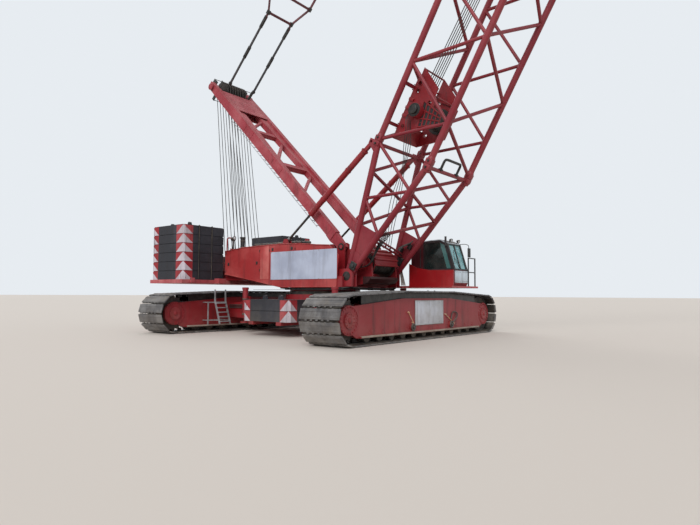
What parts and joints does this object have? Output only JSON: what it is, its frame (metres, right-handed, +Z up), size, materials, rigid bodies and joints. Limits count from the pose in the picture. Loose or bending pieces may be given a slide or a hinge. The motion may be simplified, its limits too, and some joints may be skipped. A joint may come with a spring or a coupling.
{
  "type": "crawler crane",
  "caption": "Tracked lattice boom crane with a slewing platform, stacked counterweights, leaning mast, boom stays, back stops, side cab and hook block.",
  "frame": {"origin": "on the ground under the centre of the slewing ring", "axes": "+X along the superstructure towards the boom, +Y to its left, +Z up; the two tracks run along Y"},
  "size_m": [30.5741, 10.3432, 39.1133],
  "materials": {
    "crane_red": "gloss",
    "track_steel": "rough",
    "dark_steel": "satin",
    "slab_grey": "matte",
    "galvanised": "satin",
    "rope": "rough",
    "cab_glass": "gloss",
    "seat_black": "matte"
  },
  "bodies": {
    "carrier": {"car_body": "crane_red", "slewing_ring": "dark_steel", "track_frame_front": "crane_red", "track_frame_back": "crane_red", "track_front": "track_steel", "track_back": "track_steel", "drive_sprockets": "track_steel", "idler_wheels": "track_steel", "track_rollers": "track_steel", "central_ballast": "slab_grey", "jack_legs": "crane_red", "access_steps": "galvanised"},
    "superstructure": {"platform_frame": "crane_red", "side_panels": "crane_red", "engine_block": "dark_steel", "engine_house": "crane_red", "roof_fittings": "dark_steel", "counterweight_tray": "crane_red", "counterweight_right": "slab_grey", "counterweight_left": "slab_grey", "rear_sheaves": "crane_red", "cab_shell": "crane_red", "cab_windows": "cab_glass", "cab_seat": "seat_black", "cab_platform": "crane_red", "luffing_winch_frame": "crane_red"},
    "cab_door": {"cab_door": "crane_red"},
    "luffing_drum": {"luffing_drum": "dark_steel"},
    "mast": {"mast_frame": "crane_red", "mast_sheaves": "dark_steel", "luffing_ropes": "rope"},
    "boom": {"boom_foot": "crane_red", "boom_lower": "crane_red", "boom_middle_1": "crane_red", "boom_middle_2": "crane_red", "boom_head": "crane_red", "head_sheaves": "dark_steel", "hoist_winch_frame": "crane_red", "stay_bars": "crane_red"},
    "hoist_drum": {"hoist_drum": "dark_steel"},
    "back_stop_tubes": {"back_stop_tubes": "crane_red"},
    "back_stop_rods": {"back_stop_rods": "dark_steel"},
    "hook_block": {"hook_falls": "rope", "hook_block": "crane_red"},
    "hook": {"hook": "dark_steel"}
  },
  "joints": [
    {"name": "slew", "type": "hinge", "parent": "carrier", "child": "superstructure", "pos_m": [0, 0, 1.62], "axis": [0, 0, 1], "continuous": true},
    {"name": "boom_luff", "type": "hinge", "parent": "superstructure", "child": "boom", "pos_m": [2.294, 0, 2.161], "axis": [0, -1, 0], "range_deg": [-45, 21]},
    {"name": "mast_tilt", "type": "hinge", "parent": "superstructure", "child": "mast", "pos_m": [1.75, 0, 3.25], "axis": [0, -1, 0], "range_deg": [-50, 23.5], "deforming": ["luffing_ropes"]},
    {"name": "back_stop_swing", "type": "hinge", "parent": "boom", "child": "back_stop_tubes", "pos_m": [3.33745, 0, 6.82186], "axis": [0, -1, 0], "range_deg": [-8, 16]},
    {"name": "back_stop_slide", "type": "slide", "parent": "back_stop_tubes", "child": "back_stop_rods", "axis": [-0.7838, 0, -0.621], "range_m": [-1.1, 2.25]},
    {"name": "falls_swing", "type": "hinge", "parent": "boom", "child": "hook_block", "pos_m": [23.68124, 0, 38.32446], "axis": [0, -1, 0], "range_deg": [-22, 46]},
    {"name": "hook_swivel", "type": "hinge", "parent": "hook_block", "child": "hook", "pos_m": [23.68124, 0, 35.32446], "axis": [0, 0, 1], "continuous": true},
    {"name": "hoist_drum_turn", "type": "hinge", "parent": "boom", "child": "hoist_drum", "pos_m": [4.82376, 0, 7.73418], "axis": [0, 1, 0], "continuous": true},
    {"name": "luffing_drum_turn", "type": "hinge", "parent": "superstructure", "child": "luffing_drum", "pos_m": [2.45, 0, 2.6303], "axis": [0, 1, 0], "continuous": true},
    {"name": "cab_door_slide", "type": "slide", "parent": "superstructure", "child": "cab_door", "axis": [-1, 0, 0], "range_m": [0, 0.75]}
  ],
  "couplings": [
    {"joint": "mast_tilt", "follows": "boom_luff", "ratio": 1.102},
    {"joint": "back_stop_swing", "follows": "boom_luff", "ratio": -0.326},
    {"joint": "back_stop_slide", "follows": "boom_luff", "m_per_rad": -2.744},
    {"joint": "falls_swing", "follows": "boom_luff", "ratio": -1}
  ]
}
